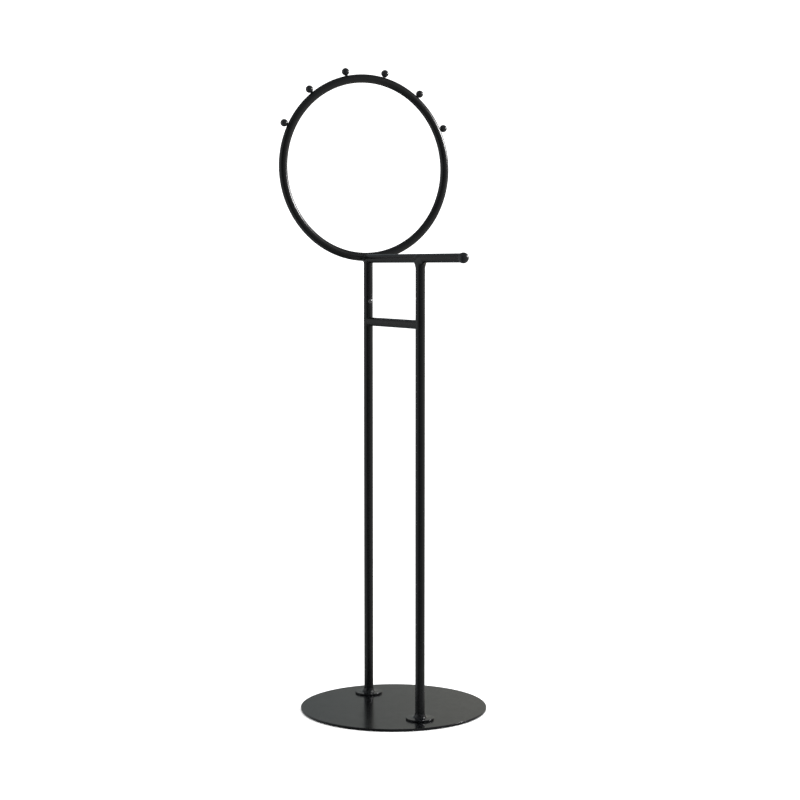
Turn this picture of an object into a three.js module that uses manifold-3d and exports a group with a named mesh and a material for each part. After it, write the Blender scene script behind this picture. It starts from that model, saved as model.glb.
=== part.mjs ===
// A free-standing garment rack: a round base plate, two posts, a hanging rail with a ball at each end,
// and an upright hoop with six ball knobs for hats, belts and scarves.
// Millimetres, +Z up. The origin is the centre of the base on the floor, +X runs along the rail.
import * as THREE from "three";
import { mergeVertices } from "three/addons/utils/BufferGeometryUtils.js";
import Module from "manifold-3d";

const wasm = await Module();
wasm.setup();

// ---- driving dimensions ----
const GAP = 0.3; // clearance between neighbouring pieces
const OVERRUN = 2; // how far a cutter runs past the face that it opens

const BASE_RADIUS = 225;
const PLATE_THICKNESS = 5;
const PLATE_CHAMFER = 0.8;
const PAD_RADIUS = 220;
const PAD_THICKNESS = 1.5;

const POST_X = 145; // each post stands this far from the centre
const POST_RADIUS = 11.25;
const POST_WALL = 1.5;
const SEAM_Z = 996; // where the upper and lower post tubes meet
const SCREW_BELOW_SEAM = 10;

const BAR_RADIUS = 10.5; // rail, mid bar and hoop
const BAR_WALL = 1.5;
const MID_BAR_Z = 936;
const RAIL_Z = 1090;
const RAIL_FAR_X = 360; // centre of the ball at the overhanging end
const RAIL_NEAR_X = -151; // centre of the ball just past the left post
const RAIL_END_INSET = 4; // the tube stops this far from each ball's centre
const BALL_RADIUS = 12.4;

const HOOP_RADIUS = 217.5; // centreline
const HOOP_SETBACK = 16; // from the left post's axis to the hoop's plane
const HOOP_RISE = 4.5; // the hoop's lowest centreline point above the rail's axis

const KNOB_COUNT = 6;
const KNOB_RADIUS = 9.2;
const KNOB_NECK_RADIUS = 3.6;
const KNOB_NECK_LENGTH = 0.5;
const STUD_RADIUS = 2.5;
const STUD_REACH = 5; // how far a stud runs into the hoop and past the knob's middle

const FLANGE_RADIUS = 33.5;
const FLANGE_THICKNESS = 4;
const COLLAR_FLARE = 5; // how far the weld fillet spreads out on the flange
const COLLAR_HEIGHT = 10;
const COLLAR_PROUD = 0.6; // the fillet's thickness at its upper edge
const FLANGE_CHAMFER = 1;

const JOINER_LENGTH = 90;
const JOINER_WALL = 4;
const PLUG_LENGTH = 30;

const BOLT_RADIUS = 4; // M8 countersunk
const BOLT_LENGTH = 28;
const BOLT_HEAD_RADIUS = 8;
const BOLT_HEAD_HEIGHT = 4;
const ACCESS_HOLE_RADIUS = 11;

const SCREW_RADIUS = 3; // M6 button head
const SCREW_LENGTH = 9;
const SCREW_HEAD_RADIUS = 5.5;
const SCREW_HEAD_HEIGHT = 3;
const HEX_SOCKET_RADIUS = 2.3;
const HEX_SOCKET_DEPTH = 1.8;

// ---- worked-out dimensions ----
const PLATE_TOP_Z = PAD_THICKNESS + GAP + PLATE_THICKNESS;
const PLATE_BOTTOM_Z = PAD_THICKNESS + GAP;
const POST_FOOT_Z = PLATE_TOP_Z + GAP;
const POST_BORE_RADIUS = POST_RADIUS - POST_WALL;
const JOINER_RADIUS = POST_BORE_RADIUS - GAP;
const SCREW_Z = SEAM_Z - SCREW_BELOW_SEAM;
const HOOP_X = -POST_X - HOOP_SETBACK;
const HOOP_CENTRE_Z = RAIL_Z + HOOP_RISE + HOOP_RADIUS;
const KNOB_RING_RADIUS = HOOP_RADIUS + BAR_RADIUS + KNOB_NECK_LENGTH + KNOB_RADIUS;

// ---- facets ----
const PLATE_SEGMENTS = 72;
const TUBE_SEGMENTS = 24;
const HOOP_SEGMENTS = 48;
const SMALL_SEGMENTS = 16;
const BORE_SEGMENTS = 12;
const ARC_STEPS = 6;
const HEX_SIDES = 6;

// ---- materials ----
const finish = (color, roughness, metalness) =>
  new THREE.MeshStandardMaterial({ color, roughness, metalness });
const frameCoat = () => finish(0x1c1d1e, 0.42, 0.2);
const baseCoat = () => finish(0x2a2b2b, 0.5, 0.2);
const ballCoat = () => finish(0x161718, 0.25, 0.2);
const zincSteel = () => finish(0xa9abac, 0.4, 0.9);
const blackSteel = () => finish(0x17181a, 0.35, 0.7);
const padRubber = () => finish(0x141414, 0.9, 0);

// ---- solids ----

// A closed geometry as a manifold-3d solid, for cutting and joining.
function solidOf(geometry) {
  const bare = geometry.clone();
  bare.deleteAttribute("normal");
  bare.deleteAttribute("uv");
  const merged = mergeVertices(bare, 1e-4);
  return new wasm.Manifold(
    new wasm.Mesh({
      numProp: 3,
      vertProperties: new Float32Array(merged.getAttribute("position").array),
      triVerts: new Uint32Array(merged.index.array),
    }),
  );
}

// A solid back as a three.js geometry.
function geometryOf(solid) {
  const mesh = solid.getMesh();
  const geometry = new THREE.BufferGeometry();
  geometry.setAttribute("position", new THREE.BufferAttribute(new Float32Array(mesh.vertProperties), 3));
  geometry.setIndex(new THREE.BufferAttribute(new Uint32Array(mesh.triVerts), 1));
  geometry.computeVertexNormals();
  return geometry;
}

// A profile of [radius, height] points turned about Z. It runs up the outside, from the axis to the axis.
function turned(points, segments) {
  const profile = points.map(([radius, height]) => new THREE.Vector2(radius, height));
  return new THREE.LatheGeometry(profile, segments).rotateX(Math.PI / 2);
}

// A round bar along Z, between two heights.
function bar(radius, bottom, top, segments = TUBE_SEGMENTS) {
  return turned([[0, bottom], [radius, bottom], [radius, top], [0, top]], segments);
}

// A bar with its edges broken at both ends.
function chamferedBar(radius, bottom, top, chamfer, segments) {
  const points = [
    [0, bottom],
    [radius - chamfer, bottom],
    [radius, bottom + chamfer],
    [radius, top - chamfer],
    [radius - chamfer, top],
    [0, top],
  ];
  return turned(points, segments);
}

// A sphere about the origin, with its poles on Z.
function ball(radius, segments) {
  return new THREE.SphereGeometry(radius, segments, segments / 2).rotateX(Math.PI / 2);
}

// Z turned to point along +X.
function alongX(geometry) {
  return geometry.rotateY(Math.PI / 2);
}

// The hoop's torus in its own place: in the YZ plane, about the hoop's centre.
function hoopTorus(tubeRadius, tubeSegments) {
  const torus = new THREE.TorusGeometry(HOOP_RADIUS, tubeRadius, tubeSegments, HOOP_SEGMENTS);
  return torus.rotateY(Math.PI / 2).translate(HOOP_X, 0, HOOP_CENTRE_Z);
}

// The space that the rail takes, with clearance.
function railSpace() {
  const cutter = alongX(bar(BAR_RADIUS + GAP, RAIL_NEAR_X + RAIL_END_INSET - GAP, RAIL_FAR_X));
  return solidOf(cutter.translate(0, 0, RAIL_Z));
}

function mesh(name, geometry, material) {
  const made = new THREE.Mesh(geometry, material);
  made.name = name;
  return made;
}

// ---- base ----

function basePlate() {
  let plate = solidOf(
    chamferedBar(BASE_RADIUS, PLATE_BOTTOM_Z, PLATE_TOP_Z, PLATE_CHAMFER, PLATE_SEGMENTS),
  );
  const sinkTop = PLATE_BOTTOM_Z + GAP + BOLT_HEAD_HEIGHT;
  for (const x of [-POST_X, POST_X]) {
    const sink = turned(
      [
        [0, PLATE_BOTTOM_Z - OVERRUN],
        [BOLT_HEAD_RADIUS + GAP, PLATE_BOTTOM_Z - OVERRUN],
        [BOLT_HEAD_RADIUS + GAP, PLATE_BOTTOM_Z + GAP],
        [BOLT_RADIUS + GAP, sinkTop],
        [BOLT_RADIUS + GAP, PLATE_TOP_Z + OVERRUN],
        [0, PLATE_TOP_Z + OVERRUN],
      ],
      SMALL_SEGMENTS,
    );
    plate = plate.subtract(solidOf(sink.translate(x, 0, 0)));
  }
  return mesh("base_plate", geometryOf(plate), baseCoat());
}

function basePad() {
  let pad = solidOf(bar(PAD_RADIUS, 0, PAD_THICKNESS, PLATE_SEGMENTS));
  for (const x of [-POST_X, POST_X]) {
    const hole = bar(ACCESS_HOLE_RADIUS, -OVERRUN, PAD_THICKNESS + OVERRUN, SMALL_SEGMENTS);
    pad = pad.subtract(solidOf(hole.translate(x, 0, 0)));
  }
  return mesh("base_pad", geometryOf(pad), padRubber());
}

// A disc that stiffens the post's foot, with a hollow-curved fillet up to the tube.
function footFlange() {
  const bore = POST_RADIUS + GAP;
  const bottom = PLATE_TOP_Z + GAP;
  const top = bottom + FLANGE_THICKNESS;
  const points = [
    [bore, bottom],
    [FLANGE_RADIUS, bottom],
    [FLANGE_RADIUS, top - FLANGE_CHAMFER],
    [FLANGE_RADIUS - FLANGE_CHAMFER, top],
  ];
  for (let i = 0; i <= ARC_STEPS; i++) {
    const angle = (i / ARC_STEPS) * (Math.PI / 2);
    const radius = bore + COLLAR_PROUD + COLLAR_FLARE * (1 - Math.sin(angle));
    points.push([radius, top + COLLAR_HEIGHT * (1 - Math.cos(angle))]);
  }
  points.push([bore, top + COLLAR_HEIGHT], [bore, bottom]);
  return turned(points, TUBE_SEGMENTS);
}

function footBolt() {
  const bottom = PLATE_BOTTOM_Z + GAP;
  const body = turned(
    [
      [0, bottom],
      [BOLT_HEAD_RADIUS, bottom],
      [BOLT_RADIUS, bottom + BOLT_HEAD_HEIGHT],
      [BOLT_RADIUS, bottom + BOLT_LENGTH],
      [0, bottom + BOLT_LENGTH],
    ],
    SMALL_SEGMENTS,
  );
  const socket = bar(HEX_SOCKET_RADIUS, bottom - OVERRUN, bottom + HEX_SOCKET_DEPTH, HEX_SIDES);
  return geometryOf(solidOf(body).subtract(solidOf(socket)));
}

// The threaded block welded inside the foot of a post.
function footPlug() {
  const bottom = POST_FOOT_Z;
  const block = solidOf(bar(JOINER_RADIUS, bottom, bottom + PLUG_LENGTH));
  const boltEnd = PLATE_BOTTOM_Z + BOLT_LENGTH;
  const thread = bar(BOLT_RADIUS + GAP, bottom - OVERRUN, boltEnd + OVERRUN, SMALL_SEGMENTS);
  return geometryOf(block.subtract(solidOf(thread)));
}

// ---- posts ----

// A tube along Z.
function tube(radius, wall, bottom, top) {
  const bore = radius - wall;
  const section = [[bore, bottom], [radius, bottom], [radius, top], [bore, top], [bore, bottom]];
  return turned(section, TUBE_SEGMENTS);
}

// The hole that a joint screw goes through, about the post's own axis.
function screwHole(inward) {
  const hole = alongX(bar(SCREW_RADIUS + GAP, 0, POST_RADIUS + OVERRUN, SMALL_SEGMENTS));
  if (inward < 0) hole.rotateZ(Math.PI);
  return solidOf(hole.translate(0, 0, SCREW_Z));
}

function lowerPost(inward) {
  const pipe = solidOf(tube(POST_RADIUS, POST_WALL, POST_FOOT_Z, SEAM_Z - GAP / 2));
  return geometryOf(pipe.subtract(screwHole(inward)));
}

// The inner sleeve that lines up the two post tubes, with the thread for the joint screw.
function joiner(inward) {
  const pipe = tube(JOINER_RADIUS, JOINER_WALL, SEAM_Z - JOINER_LENGTH / 2, SEAM_Z + JOINER_LENGTH / 2);
  return geometryOf(solidOf(pipe).subtract(screwHole(inward)));
}

function jointScrew(inward) {
  const seat = POST_RADIUS + GAP;
  const points = [
    [0, seat - SCREW_LENGTH],
    [SCREW_RADIUS, seat - SCREW_LENGTH],
    [SCREW_RADIUS, seat],
    [SCREW_HEAD_RADIUS, seat],
  ];
  for (let i = 1; i <= ARC_STEPS; i++) {
    const angle = (i / ARC_STEPS) * (Math.PI / 2);
    points.push([SCREW_HEAD_RADIUS * Math.cos(angle), seat + SCREW_HEAD_HEIGHT * Math.sin(angle)]);
  }
  points[points.length - 1][0] = 0;
  const top = seat + SCREW_HEAD_HEIGHT;
  const socket = solidOf(bar(HEX_SOCKET_RADIUS, top - HEX_SOCKET_DEPTH, top + OVERRUN, HEX_SIDES));
  const screw = alongX(geometryOf(solidOf(turned(points, SMALL_SEGMENTS)).subtract(socket)));
  if (inward < 0) screw.rotateZ(Math.PI);
  return screw.translate(0, 0, SCREW_Z);
}

// The upper tube of a post, cut to the underside of what stands on it.
function postTop(x) {
  let pipe = solidOf(tube(POST_RADIUS, POST_WALL, SEAM_Z + GAP / 2, RAIL_Z).translate(x, 0, 0));
  pipe = pipe.subtract(railSpace());
  if (x < 0) {
    const ballSpace = ball(BALL_RADIUS + GAP, TUBE_SEGMENTS).translate(RAIL_NEAR_X, 0, RAIL_Z);
    pipe = pipe.subtract(solidOf(ballSpace));
    pipe = pipe.subtract(solidOf(hoopTorus(BAR_RADIUS + GAP, TUBE_SEGMENTS)));
  }
  // Slivers that the cuts leave above the saddle are dropped, so that the tube is one piece.
  const pieces = pipe.decompose();
  pieces.sort((a, b) => b.volume() - a.volume());
  return geometryOf(pieces[0]);
}

// ---- bars ----

function midBar() {
  let pipe = solidOf(alongX(tube(BAR_RADIUS, BAR_WALL, -POST_X, POST_X)).translate(0, 0, MID_BAR_Z));
  for (const x of [-POST_X, POST_X]) {
    const post = bar(POST_RADIUS + GAP, MID_BAR_Z - 2 * BAR_RADIUS, MID_BAR_Z + 2 * BAR_RADIUS);
    pipe = pipe.subtract(solidOf(post.translate(x, 0, 0)));
  }
  return mesh("mid_bar", geometryOf(pipe), frameCoat());
}

function rail() {
  const pipe = tube(BAR_RADIUS, BAR_WALL, RAIL_NEAR_X + RAIL_END_INSET, RAIL_FAR_X - RAIL_END_INSET);
  return mesh("rail", alongX(pipe).translate(0, 0, RAIL_Z), frameCoat());
}

// A ball whose inner side is bored to take the end of the rail.
function railBall(name, x) {
  const towardsRail = x < 0 ? 1 : -1;
  const seat = RAIL_END_INSET - GAP;
  const socket = alongX(bar(BAR_RADIUS + GAP, seat, BALL_RADIUS + OVERRUN));
  if (towardsRail < 0) socket.rotateZ(Math.PI);
  let sphere = solidOf(ball(BALL_RADIUS, TUBE_SEGMENTS)).subtract(solidOf(socket));
  sphere = sphere.translate([x, 0, RAIL_Z]);
  if (x < 0) sphere = sphere.subtract(solidOf(hoopTorus(BAR_RADIUS + GAP, TUBE_SEGMENTS)));
  return mesh(name, geometryOf(sphere), ballCoat());
}

// ---- hoop and knobs ----

// A piece modelled along +Z is swung out to its place on the hoop.
function placeOnHoop(geometry, angle) {
  return geometry.rotateX(angle - Math.PI / 2).translate(HOOP_X, 0, HOOP_CENTRE_Z);
}

// The knobs share out the upper half of the hoop evenly, with a whole step below the first and last.
function knobAngle(index) {
  return ((index + 1) * Math.PI) / (KNOB_COUNT + 1);
}

function hoop() {
  const bore = hoopTorus(BAR_RADIUS - BAR_WALL, BORE_SEGMENTS);
  let pipe = solidOf(hoopTorus(BAR_RADIUS, SMALL_SEGMENTS)).subtract(solidOf(bore));
  for (let i = 0; i < KNOB_COUNT; i++) {
    const hole = bar(STUD_RADIUS + GAP, HOOP_RADIUS, HOOP_RADIUS + BAR_RADIUS + OVERRUN, BORE_SEGMENTS);
    pipe = pipe.subtract(solidOf(placeOnHoop(hole, knobAngle(i))));
  }
  return mesh("hoop", geometryOf(pipe), frameCoat());
}

function knob(index) {
  const foot = HOOP_RADIUS + BAR_RADIUS + GAP;
  const neckHeight = Math.sqrt(KNOB_RADIUS ** 2 - KNOB_NECK_RADIUS ** 2);
  const start = -Math.asin(neckHeight / KNOB_RADIUS);
  const points = [[0, foot], [KNOB_NECK_RADIUS, foot]];
  for (let i = 0; i <= ARC_STEPS; i++) {
    const angle = start + (i / ARC_STEPS) * (Math.PI / 2 - start);
    points.push([KNOB_RADIUS * Math.cos(angle), KNOB_RING_RADIUS + KNOB_RADIUS * Math.sin(angle)]);
  }
  points[points.length - 1][0] = 0;
  const hole = bar(STUD_RADIUS + GAP, foot - OVERRUN, KNOB_RING_RADIUS + STUD_REACH, BORE_SEGMENTS);
  const body = solidOf(turned(points, SMALL_SEGMENTS)).subtract(solidOf(hole));
  return mesh(`knob_${index + 1}`, placeOnHoop(geometryOf(body), knobAngle(index)), ballCoat());
}

function knobStud(index) {
  const inner = HOOP_RADIUS + BAR_RADIUS - STUD_REACH;
  const pin = bar(STUD_RADIUS, inner, KNOB_RING_RADIUS + STUD_REACH - GAP, BORE_SEGMENTS);
  return mesh(`knob_stud_${index + 1}`, placeOnHoop(pin, knobAngle(index)), zincSteel());
}

// ---- assembly ----

const group = new THREE.Group();
group.add(basePad(), basePlate(), midBar(), rail(), hoop());
group.add(railBall("rail_ball_left", RAIL_NEAR_X), railBall("rail_ball_right", RAIL_FAR_X));

// Both posts carry the same pieces, each with its joint screw on the side that faces the other post.
for (const [side, x] of [["left", -POST_X], ["right", POST_X]]) {
  const inward = x < 0 ? 1 : -1;
  const post = new THREE.Group();
  post.position.x = x;
  post.add(
    mesh(`foot_flange_${side}`, footFlange(), baseCoat()),
    mesh(`foot_bolt_${side}`, footBolt(), zincSteel()),
    mesh(`foot_plug_${side}`, footPlug(), zincSteel()),
    mesh(`post_${side}`, lowerPost(inward), frameCoat()),
    mesh(`joiner_${side}`, joiner(inward), zincSteel()),
    mesh(`joint_screw_${side}`, jointScrew(inward), blackSteel()),
  );
  group.add(post, mesh(`post_top_${side}`, postTop(x), frameCoat()));
}

for (let i = 0; i < KNOB_COUNT; i++) {
  group.add(knob(i), knobStud(i));
}

export default group;
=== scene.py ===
"""Looks of a free-standing garment rack: fine meshes, welds, procedural finishes, light and camera.

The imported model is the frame. Every fine piece takes its place from it, and replaces its plain node.
"""

from math import asin, atan2, cos, pi, radians, sin, sqrt

import bmesh
import bpy
import numpy as np
from mathutils import Matrix, Vector


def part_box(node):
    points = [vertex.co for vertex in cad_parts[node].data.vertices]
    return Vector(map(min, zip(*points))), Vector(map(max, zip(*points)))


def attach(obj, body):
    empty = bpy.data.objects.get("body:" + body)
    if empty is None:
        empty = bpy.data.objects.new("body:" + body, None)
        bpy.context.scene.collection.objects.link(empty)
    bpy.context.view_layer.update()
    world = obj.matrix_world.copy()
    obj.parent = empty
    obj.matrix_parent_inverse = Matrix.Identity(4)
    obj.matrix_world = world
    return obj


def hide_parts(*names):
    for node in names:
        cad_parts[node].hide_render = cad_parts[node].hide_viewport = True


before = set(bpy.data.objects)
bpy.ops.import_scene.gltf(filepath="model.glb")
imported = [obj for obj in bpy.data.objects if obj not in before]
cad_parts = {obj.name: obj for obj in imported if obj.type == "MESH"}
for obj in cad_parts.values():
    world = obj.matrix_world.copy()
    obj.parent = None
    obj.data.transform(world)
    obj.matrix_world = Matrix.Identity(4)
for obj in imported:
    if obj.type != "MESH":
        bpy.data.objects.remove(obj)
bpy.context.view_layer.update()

MM = 0.001
GAP = 0.3 * MM  # clearance between neighbouring pieces


# ---- places and sizes, from the frame ----

def middle(node):
    low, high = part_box(node)
    return (low + high) / 2


def half(node):
    low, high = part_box(node)
    return (high - low) / 2


LEFT_X = middle("post_left").x
RIGHT_X = middle("post_right").x
POST_RADIUS = half("post_left").y
BAR_RADIUS = half("rail").z
RAIL_Z = middle("rail").z
MID_BAR_Z = middle("mid_bar").z
BALL_RADIUS = half("rail_ball_right").z
HOOP_CENTRE = middle("hoop")
HOOP_RADIUS = half("hoop").y - BAR_RADIUS
SEAM_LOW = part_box("post_left")[1].z
SEAM_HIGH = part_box("post_top_left")[0].z
SCREW_Z = middle("joint_screw_left").z
PLATE_LOW, PLATE_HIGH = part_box("base_plate")
PAD_LOW, PAD_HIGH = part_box("base_pad")
PLATE_RADIUS = half("base_plate").y
PAD_RADIUS = half("base_pad").y
FLANGE_RADIUS = half("foot_flange_left").y
FLANGE_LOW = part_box("foot_flange_left")[0].z
FLANGE_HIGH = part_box("foot_flange_left")[1].z

# Sizes that the boxes don't give.
TUBE_WALL = 1.5 * MM
FLANGE_THICKNESS = 4 * MM
RAIL_END_INSET = 4 * MM
RAIL_NEAR_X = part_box("rail")[0].x - RAIL_END_INSET
RAIL_FAR_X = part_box("rail")[1].x + RAIL_END_INSET
ACCESS_HOLE_RADIUS = 11 * MM
BOLT_RADIUS = 4 * MM
BOLT_HEAD_RADIUS = 8 * MM
BOLT_HEAD_HEIGHT = 4 * MM
SCREW_RADIUS = 3 * MM
SCREW_HEAD_RADIUS = 5.5 * MM
SCREW_HEAD_HEIGHT = 3 * MM
SCREW_LENGTH = 9 * MM
HEX_SIDES = 6
HEX_RADIUS = 2.3 * MM
HEX_DEPTH = 1.8 * MM
KNOB_COUNT = 6
KNOB_RADIUS = 9.2 * MM
KNOB_NECK_RADIUS = 3.6 * MM
KNOB_NECK_LENGTH = 0.5 * MM
KNOB_RING_RADIUS = HOOP_RADIUS + BAR_RADIUS + KNOB_NECK_LENGTH + KNOB_RADIUS
STUD_RADIUS = 2.5 * MM
STUD_REACH = 5 * MM
JOINER_WALL = 4 * MM

# Each post's name, its place, and the way from it to the other one.
SIDES = (("left", LEFT_X, 1), ("right", RIGHT_X, -1))

# Fineness.
PLATE_SEGMENTS = 360
COLLAR_SEGMENTS = 240
TUBE_SEGMENTS = 96
HOOP_SEGMENTS = 384
SMALL_SEGMENTS = 64
STUD_HOLE_SEGMENTS = 24
ARC_STEPS = 6
LIP_STEPS = 4
TINY = 1e-9  # lengths below this count as nothing
MERGE_DISTANCE = 1e-7  # points closer than this are made one


# ---- meshes ----

def rounded(corners, closed=False, steps=ARC_STEPS):
    """An outline through (x, y, radius) corners, each rounded to its radius, with a close point on both
    sides of the arc so that the flats beside it stay flat in the shading."""
    outline = []
    count = len(corners)
    for i, (x, y, radius) in enumerate(corners):
        here = np.array((x, y))
        if radius <= 0 or (not closed and i in (0, count - 1)):
            outline.append((x, y))
            continue
        back = np.array(corners[i - 1][:2]) - here
        ahead = np.array(corners[(i + 1) % count][:2]) - here
        back = back / np.linalg.norm(back)
        ahead = ahead / np.linalg.norm(ahead)
        opening = np.arccos(np.clip(back @ ahead, -1, 1))
        reach = radius / np.tan(opening / 2)
        bisector = (back + ahead) / np.linalg.norm(back + ahead)
        centre = here + bisector * radius / sin(opening / 2)
        first = here + back * reach - centre
        last = here + ahead * reach - centre
        turn = atan2(first[0] * last[1] - first[1] * last[0], first @ last)
        support = radius * abs(turn) / steps
        outline.append(tuple(here + back * (reach + support)))
        for k in range(steps + 1):
            angle = turn * k / steps
            spun_x = first[0] * cos(angle) - first[1] * sin(angle)
            spun_y = first[0] * sin(angle) + first[1] * cos(angle)
            outline.append((centre[0] + spun_x, centre[1] + spun_y))
        outline.append(tuple(here + ahead * (reach + support)))
    return outline


def lathe(outline, segments):
    """An outline of (radius, height) points turned about Z. It runs up from axis to axis, or closes on
    itself. A flat end is one face."""
    on_axis = outline[0][0] < TINY
    flat_start = int(on_axis and abs(outline[0][1] - outline[1][1]) < TINY)
    flat_end = int(on_axis and abs(outline[-1][1] - outline[-2][1]) < TINY)
    points, rings, faces = [], [], []
    for radius, height in outline[flat_start:len(outline) - flat_end]:
        start = len(points)
        if radius < TINY:
            points.append((0, 0, height))
            rings.append([start] * segments)
            continue
        for k in range(segments):
            angle = 2 * pi * k / segments
            points.append((radius * cos(angle), radius * sin(angle), height))
        rings.append(list(range(start, start + segments)))
    pairs = list(zip(rings, rings[1:]))
    if not on_axis:
        pairs.append((rings[-1], rings[0]))
    for low, high in pairs:
        for k in range(segments):
            j = (k + 1) % segments
            corners = []
            for index in (low[k], low[j], high[j], high[k]):
                if index not in corners:
                    corners.append(index)
            if len(corners) > 2:
                faces.append(corners)
    if flat_start:
        faces.append(rings[0][::-1])
    if flat_end:
        faces.append(rings[-1])
    return np.array(points), faces


def rod(radius, low, high, segments):
    """A plain rod along Z."""
    return lathe([(0, low), (radius, low), (radius, high), (0, high)], segments)


def torus(tube_radius, hoop_segments, tube_segments, outward=True):
    """A ring in the YZ plane about the hoop's centre."""
    points, faces = [], []
    for i in range(hoop_segments):
        around = 2 * pi * i / hoop_segments
        for k in range(tube_segments):
            turn = 2 * pi * k / tube_segments
            reach = HOOP_RADIUS + tube_radius * cos(turn)
            points.append((tube_radius * sin(turn), reach * cos(around), reach * sin(around)))
    for i in range(hoop_segments):
        for k in range(tube_segments):
            j, m = (i + 1) % hoop_segments, (k + 1) % tube_segments
            face = [a * tube_segments + b for a, b in ((i, k), (j, k), (j, m), (i, m))]
            faces.append(face if outward else face[::-1])
    return np.array(points) + np.array(HOOP_CENTRE), faces


def along_x(points, sign=1):
    """A shape made along +Z, turned to run along +X, or along -X."""
    x, y, z = points.T
    return np.stack((sign * z, y, -sign * x), 1)


def on_hoop(points, angle):
    """A shape made along +Z, swung out to its place on the hoop."""
    turn = np.array(Matrix.Rotation(angle - pi / 2, 3, "X"))
    return points @ turn.T + np.array(HOOP_CENTRE)


def make_object(name, points, faces):
    mesh = bpy.data.meshes.new(name)
    mesh.from_pydata([tuple(p) for p in points], [], faces)
    mesh.validate()
    made = bpy.data.objects.new(name, mesh)
    bpy.context.scene.collection.objects.link(made)
    return made


def apply_modifiers(piece):
    bpy.context.view_layer.update()
    graph = bpy.context.evaluated_depsgraph_get()
    mesh = bpy.data.meshes.new_from_object(piece.evaluated_get(graph))
    piece.modifiers.clear()
    old = piece.data
    piece.data = mesh
    bpy.data.meshes.remove(old)


def cut(piece, cutters):
    """Takes the cutters out of the piece."""
    for cutter in cutters:
        modifier = piece.modifiers.new("cut", "BOOLEAN")
        modifier.operation = "DIFFERENCE"
        modifier.solver = "EXACT"
        modifier.object = cutter
    apply_modifiers(piece)
    for cutter in cutters:
        bpy.data.objects.remove(cutter)


def finish_piece(piece, material, nodes, crease=35):
    """Closes up the mesh, sets its shading and finish, and lets it stand for its nodes. Edges sharper
    than the crease, in degrees, stay sharp."""
    work = bmesh.new()
    work.from_mesh(piece.data)
    bmesh.ops.remove_doubles(work, verts=work.verts, dist=MERGE_DISTANCE)
    bmesh.ops.recalc_face_normals(work, faces=work.faces)
    work.to_mesh(piece.data)
    work.free()
    piece.data.shade_smooth()
    piece.data.set_sharp_from_angle(angle=radians(crease))
    piece.data.materials.clear()
    piece.data.materials.append(material)
    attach(piece, "root")
    if nodes:
        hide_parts(*nodes)


def shift(points, x=0, y=0, z=0):
    return points + np.array((x, y, z))


# ---- welds ----

def cylinder_field(p, centre, axis, radius):
    """Distance to an endless round bar along one axis."""
    across = [k for k in range(3) if k != axis]
    return np.sqrt(sum((p[k] - centre[k]) ** 2 for k in across)) - radius


def domed_post_field(p, x, top, edge):
    """Distance to a post along Z that ends at this height, with its top edge rounded."""
    side = cylinder_field(p, (x, 0, 0), 2, POST_RADIUS) + edge
    above = p[2] - top + edge
    outside = np.sqrt(np.maximum(side, 0) ** 2 + np.maximum(above, 0) ** 2)
    return np.minimum(np.maximum(side, above), 0) + outside - edge


def ball_field(p, centre, radius):
    return np.sqrt(sum((p[k] - centre[k]) ** 2 for k in range(3))) - radius


def hoop_field(p):
    ring = np.sqrt((p[1] - HOOP_CENTRE.y) ** 2 + (p[2] - HOOP_CENTRE.z) ** 2) - HOOP_RADIUS
    return np.sqrt(ring ** 2 + (p[0] - HOOP_CENTRE.x) ** 2) - BAR_RADIUS


def blended(a, b, reach):
    """Two distance fields joined softly, where they are within this reach of each other."""
    near = np.maximum(reach - np.abs(a - b), 0) / reach
    return np.minimum(a, b) - near ** 2 * reach / 4


def surface_net(field, origin, cell):
    """The zero level of a field on a grid, as a closed mesh with one vertex in each cell that it
    crosses."""
    sizes = np.array(field.shape) - 1
    total = np.zeros((*sizes, 3))
    count = np.zeros(sizes)
    steps = np.stack(np.meshgrid(*[np.arange(s) for s in sizes], indexing="ij"), -1)
    for axis in range(3):
        others = [k for k in range(3) if k != axis]
        for i in (0, 1):
            for j in (0, 1):
                offset = [0, 0, 0]
                offset[others[0]], offset[others[1]] = i, j
                low = field[tuple(slice(o, o + s) for o, s in zip(offset, sizes))]
                offset[axis] = 1
                high = field[tuple(slice(o, o + s) for o, s in zip(offset, sizes))]
                offset[axis] = 0
                crossed = (low < 0) != (high < 0)
                share = np.where(crossed, low / np.where(crossed, low - high, 1), 0)
                place = (steps + np.array(offset)).astype(float)
                place[..., axis] += share
                total += place * crossed[..., None]
                count += crossed
    active = count > 0
    number = np.full(sizes, -1)
    number[active] = np.arange(active.sum())
    points = total[active] / count[active][:, None] * cell + np.array(origin)
    faces = []
    for axis in range(3):
        others = [(axis + 1) % 3, (axis + 2) % 3]
        start = [0, 0, 0]
        start[others[0]] = start[others[1]] = 1
        span = [field.shape[k] - (1 if k == axis else 2) for k in range(3)]
        window = tuple(slice(s, s + n) for s, n in zip(start, span))
        ahead = list(start)
        ahead[axis] += 1
        beyond = tuple(slice(s, s + n) for s, n in zip(ahead, span))
        crossed = (field[window] < 0) != (field[beyond] < 0)
        inside = (field[window] < 0)[crossed]
        cells = np.argwhere(crossed) + np.array(start)
        corners = []
        for i, j in ((-1, -1), (0, -1), (0, 0), (-1, 0)):
            place = cells.copy()
            place[:, others[0]] += i
            place[:, others[1]] += j
            corners.append(number[place[:, 0], place[:, 1], place[:, 2]])
        quads = np.stack(corners, 1)
        quads[~inside] = quads[~inside][:, ::-1]
        faces += quads.tolist()
    return points, faces


WELD_ROOT = 0.8 * MM  # how far a weld runs in under the surfaces that it joins
WELD_EDGE = 0.06 * MM  # a weld stops where it is thinner than this
WELD_CREASE = 50  # degrees
VOXEL_SHARE = 0.8  # size of the voxels in a weld's final mesh, as a share of its field's cells


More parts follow.
